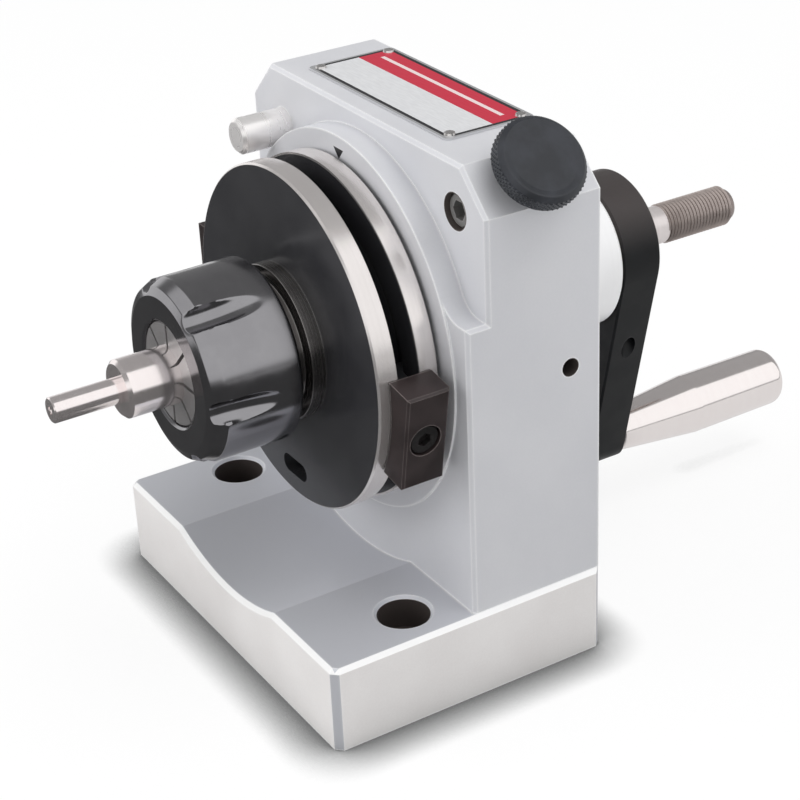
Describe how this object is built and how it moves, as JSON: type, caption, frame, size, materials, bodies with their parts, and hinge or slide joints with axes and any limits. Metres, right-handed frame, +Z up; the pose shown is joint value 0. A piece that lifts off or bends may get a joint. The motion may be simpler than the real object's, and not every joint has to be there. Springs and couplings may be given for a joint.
{
  "type": "punch former",
  "caption": "Bench fixture that turns a round blank in a collet chuck under a grinding wheel, with an index disc, adjustable stop dogs, a spring plunger and a hand crank.",
  "frame": {"origin": "middle of the block's underside", "axes": "+Z up from the underside, -Y along the spindle towards the punch, +X to the side of the plunger knob"},
  "size_m": [0.107, 0.2013, 0.1312],
  "materials": {
    "ground_steel": "satin, ground",
    "black_oxide": "semi-gloss black oxide",
    "dog_steel": "satin brown-black oxide",
    "bright_steel": "polished",
    "collet_steel": "fine ground",
    "punch_steel": "ground and polished",
    "polished_handle": "polished",
    "bronze": "machined bearing bronze",
    "knob_steel": "matt blue-black, knurled",
    "screw_black": "black oxide",
    "spring_steel": "drawn wire",
    "plate_aluminium": "satin"
  },
  "bodies": {
    "block": {"body": "ground_steel", "nameplate": "plate_aluminium", "nameplate_rivets": "plate_aluminium", "thrust_washer": "bronze", "front_bush": "bronze", "rear_sleeve": "ground_steel", "rear_bush": "bronze", "rear_washer": "bronze", "sleeve_set_screw": "screw_black", "stop_pin": "bright_steel", "plunger_barrel": "bright_steel", "plunger_spring": "spring_steel", "plunger_set_screw": "screw_black"},
    "spindle_unit": {"spindle": "bright_steel", "stop_disc": "black_oxide", "disc_key": "bright_steel", "index_ring": "bright_steel", "index_ring_screw": "screw_black", "crank_arm": "black_oxide", "arm_set_screw": "screw_black", "rear_stud": "bright_steel", "handle_bolt": "screw_black"},
    "right_dog": {"dog_right": "dog_steel", "dog_nut_right": "screw_black", "dog_screw_right": "screw_black"},
    "left_dog": {"dog_left": "dog_steel", "dog_nut_left": "screw_black", "dog_screw_left": "screw_black"},
    "chuck": {"collet": "collet_steel", "punch": "punch_steel"},
    "nut": {"collet_nut": "black_oxide"},
    "plunger": {"plunger_pin": "bright_steel", "plunger_knob": "knob_steel"},
    "handle": {"crank_handle": "polished_handle"}
  },
  "joints": [
    {"name": "spindle_turn", "type": "hinge", "parent": "block", "child": "spindle_unit", "pos_m": [0, 0, 0.0742], "axis": [0, -1, 0], "range_deg": [-15, 120]},
    {"name": "right_dog_set", "type": "hinge", "parent": "spindle_unit", "child": "right_dog", "pos_m": [0, 0, 0.0742], "axis": [0, -1, 0], "range_deg": [-45, 5]},
    {"name": "left_dog_set", "type": "hinge", "parent": "spindle_unit", "child": "left_dog", "pos_m": [0, 0, 0.0742], "axis": [0, -1, 0], "range_deg": [-10, 45]},
    {"name": "collet_slide", "type": "slide", "parent": "spindle_unit", "child": "chuck", "axis": [0, -1, 0], "range_m": [0, 0.0015]},
    {"name": "nut_turn", "type": "hinge", "parent": "chuck", "child": "nut", "pos_m": [0, 0, 0.0742], "axis": [0, -1, 0], "range_deg": [0, 360]},
    {"name": "plunger_slide", "type": "slide", "parent": "block", "child": "plunger", "axis": [-0.7071, 0, -0.7071], "range_m": [0, 0.003]},
    {"name": "handle_spin", "type": "hinge", "parent": "spindle_unit", "child": "handle", "pos_m": [-0.002, 0.0774, 0.0194], "axis": [0, 1, 0], "continuous": true}
  ],
  "couplings": [
    {"joint": "nut_turn", "follows": "collet_slide", "rad_per_m": 4188.8}
  ]
}
